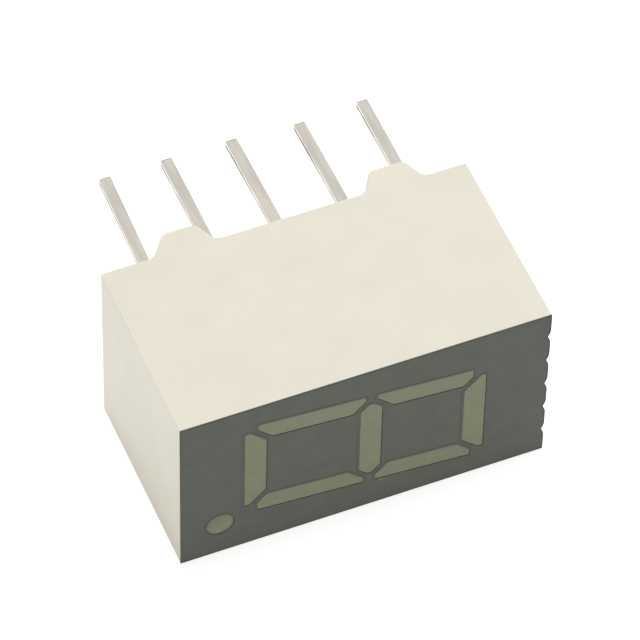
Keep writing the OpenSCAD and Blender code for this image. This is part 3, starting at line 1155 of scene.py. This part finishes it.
    def build(self, material: bpy.types.Material) -> None:
        """Builds the block and the collars round the legs.

        Args:
            material: The potting epoxy.
        """
        dress(self.body(), material, Slot.POTTING, ("back_potting",))
        base_mesh = bpy.data.meshes.new("lead_roots")
        base_mesh.from_pydata(self.lead_roots(), [], [])
        base = link_mesh("lead_roots", base_mesh)
        values = {
            "Radius": self.collar_mm * MM,
            "Rise": self.collar_rise_mm * MM,
            "Seed": self.seed,
            "Material": material,
        }
        mesh = run_tree(base, self.collar_tree(), values)
        bpy.data.objects.remove(base)
        dress(link_mesh("potting_collars", mesh), material, Slot.POTTING)


class Works:
    """Chips and bond wires, sealed inside: the CAD solids with their real finishes."""

    def build(self, chip: bpy.types.Material, wire: bpy.types.Material) -> None:
        """Dresses the CAD nodes.

        Args:
            chip: The chips' finish.
            wire: The wires' finish.
        """
        for prefix, material in (("chip", chip), ("wire", wire)):
            for name in DRIVEN:
                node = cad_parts[f"{prefix}_{name}"]
                node.data.materials.clear()
                node.data.materials.append(material)
                log.info("%s: dressed", node.name)


@dataclass(frozen=True)
class SoftLamp:
    """A square soft lamp: its name, place, side and power."""

    name: str
    at_mm: tuple[float, float, float]
    side_mm: float
    watts: float


@dataclass
class Studio:
    """Camera, soft light and a white floor, none of which belongs to the display."""

    camera_at_mm: tuple[float, float, float] = (-49.605, -115.535, 157.133)
    azimuth: float = -23.615
    elevation: float = 50.732
    roll: float = -1.449
    lens_mm: float = 307.7
    floor_m: float = 1.2
    floor_drop_mm: float = 0.02
    floor_colour: str = "#F0F0EE"
    sky_light: float = 0.41
    floor_glow: float = 0.58
    floor_light: float = 0.36
    lamps: tuple[SoftLamp, ...] = (
        SoftLamp("overhead_softbox", (70, 40, 276), 210, 0.54),
        SoftLamp("face_softbox", (40, -260, 110), 200, 0.01),
    )

    def camera(self) -> None:
        """Makes the camera at the place and turn fitted to the photograph."""
        data = bpy.data.cameras.new("camera")
        data.lens = self.lens_mm
        data.sensor_width = 36
        data.clip_start = 0.01
        data.clip_end = 10
        camera = bpy.data.objects.new("camera", data)
        bpy.context.scene.collection.objects.link(camera)
        turn, rise = math.radians(self.azimuth), math.radians(self.elevation)
        back = Vector(
            (math.sin(turn) * math.cos(rise), -math.cos(turn) * math.cos(rise), math.sin(rise))
        )
        level = Vector((0, 0, 1)).cross(back).normalized()
        upright = back.cross(level)
        tilt = math.radians(-self.roll)
        right = level * math.cos(tilt) + upright * math.sin(tilt)
        up = back.cross(right)
        basis = Matrix((right, up, back)).transposed().to_4x4()
        camera.matrix_world = Matrix.Translation(Vector(self.camera_at_mm) * MM) @ basis
        bpy.context.scene.camera = camera

    def background_share(self, tree: bpy.types.NodeTree) -> bpy.types.NodeSocket:
        """One where a ray comes from the camera or a mirror-like surface, else zero.

        Args:
            tree: A material's or the world's node tree.

        Returns:
            The share.
        """
        path = add_node(tree, "ShaderNodeLightPath")
        either = add_node(
            tree,
            "ShaderNodeMath",
            {0: path.outputs["Is Camera Ray"], 1: path.outputs["Is Glossy Ray"]},
            operation="MAXIMUM",
        )
        every = add_node(
            tree,
            "ShaderNodeMath",
            {0: either.outputs[0], 1: path.outputs["Is Transmission Ray"]},
            operation="MAXIMUM",
        )
        return every.outputs[0]

    def world(self) -> None:
        """Sets a white surround that lights the object more softly than it shows."""
        world = bpy.data.worlds.new("white_surround")
        bpy.context.scene.world = world
        world.use_nodes = True
        tree = world.node_tree
        strength = add_node(
            tree, "ShaderNodeMapRange", {0: self.background_share(tree), 3: self.sky_light, 4: 1.0}
        )
        back = tree.nodes["Background"]
        back.inputs["Color"].default_value = linear("#FFFFFF")
        tree.links.new(strength.outputs[0], back.inputs["Strength"])

    def floor(self) -> None:
        """Makes the white floor, which keeps the object's shadow."""
        half = self.floor_m / 2
        mesh = bpy.data.meshes.new("floor")
        corners = [(-half, -half, 0), (half, -half, 0), (half, half, 0), (-half, half, 0)]
        mesh.from_pydata(corners, [], [(0, 1, 2, 3)])
        floor = link_mesh("floor", mesh)
        floor.location.z = -self.floor_drop_mm * MM
        material = bpy.data.materials.new("white_table_top")
        material.use_nodes = True
        tree = material.node_tree
        shader = tree.nodes["Principled BSDF"]
        shader.inputs["Base Color"].default_value = linear(self.floor_colour)
        shader.inputs["Roughness"].default_value = 0.9
        shader.inputs["Specular IOR Level"].default_value = 0.1
        shader.inputs["Emission Color"].default_value = linear("#FFFFFF")
        glow = add_node(
            tree,
            "ShaderNodeMapRange",
            {0: self.background_share(tree), 3: self.floor_light, 4: self.floor_glow},
        )
        tree.links.new(glow.outputs[0], shader.inputs["Emission Strength"])
        mesh.materials.append(material)

    def hang(self, lamp: SoftLamp) -> None:
        """Adds a lamp that points at the display and stays out of mirror images.

        Seen in the tinned legs, the overhead lamp would burn them out to white.

        Args:
            lamp: The lamp.
        """
        data = bpy.data.lights.new(lamp.name, "AREA")
        data.size = lamp.side_mm * MM
        data.energy = lamp.watts
        hung = bpy.data.objects.new(lamp.name, data)
        bpy.context.scene.collection.objects.link(hung)
        hung.location = Vector(lamp.at_mm) * MM
        hung.rotation_euler = (-hung.location).to_track_quat("-Z", "Y").to_euler()
        hung.visible_glossy = False

    def build(self) -> None:
        """Builds the whole studio and sets the plain view transform."""
        self.camera()
        self.world()
        self.floor()
        for lamp in self.lamps:
            self.hang(lamp)
        bpy.context.scene.view_settings.view_transform = "Standard"


def main() -> None:
    """Builds the studio and every piece."""
    logging.basicConfig(level=logging.INFO, format="%(message)s")
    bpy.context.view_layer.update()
    Studio().build()
    Housing().build(HOUSING_PLASTIC.build())
    FacePrint().build(FACE_INK.build(), INK_EDGE_SHADE.build())
    DigitResin().build(DIFFUSING_EPOXY.build())
    Leads().build(TIN_PLATE.build())
    Potting().build(POTTING_EPOXY.build())
    Works().build(SAWN_CHIP.build(), GOLD_WIRE.build())


if __name__ == "__main__":
    main()
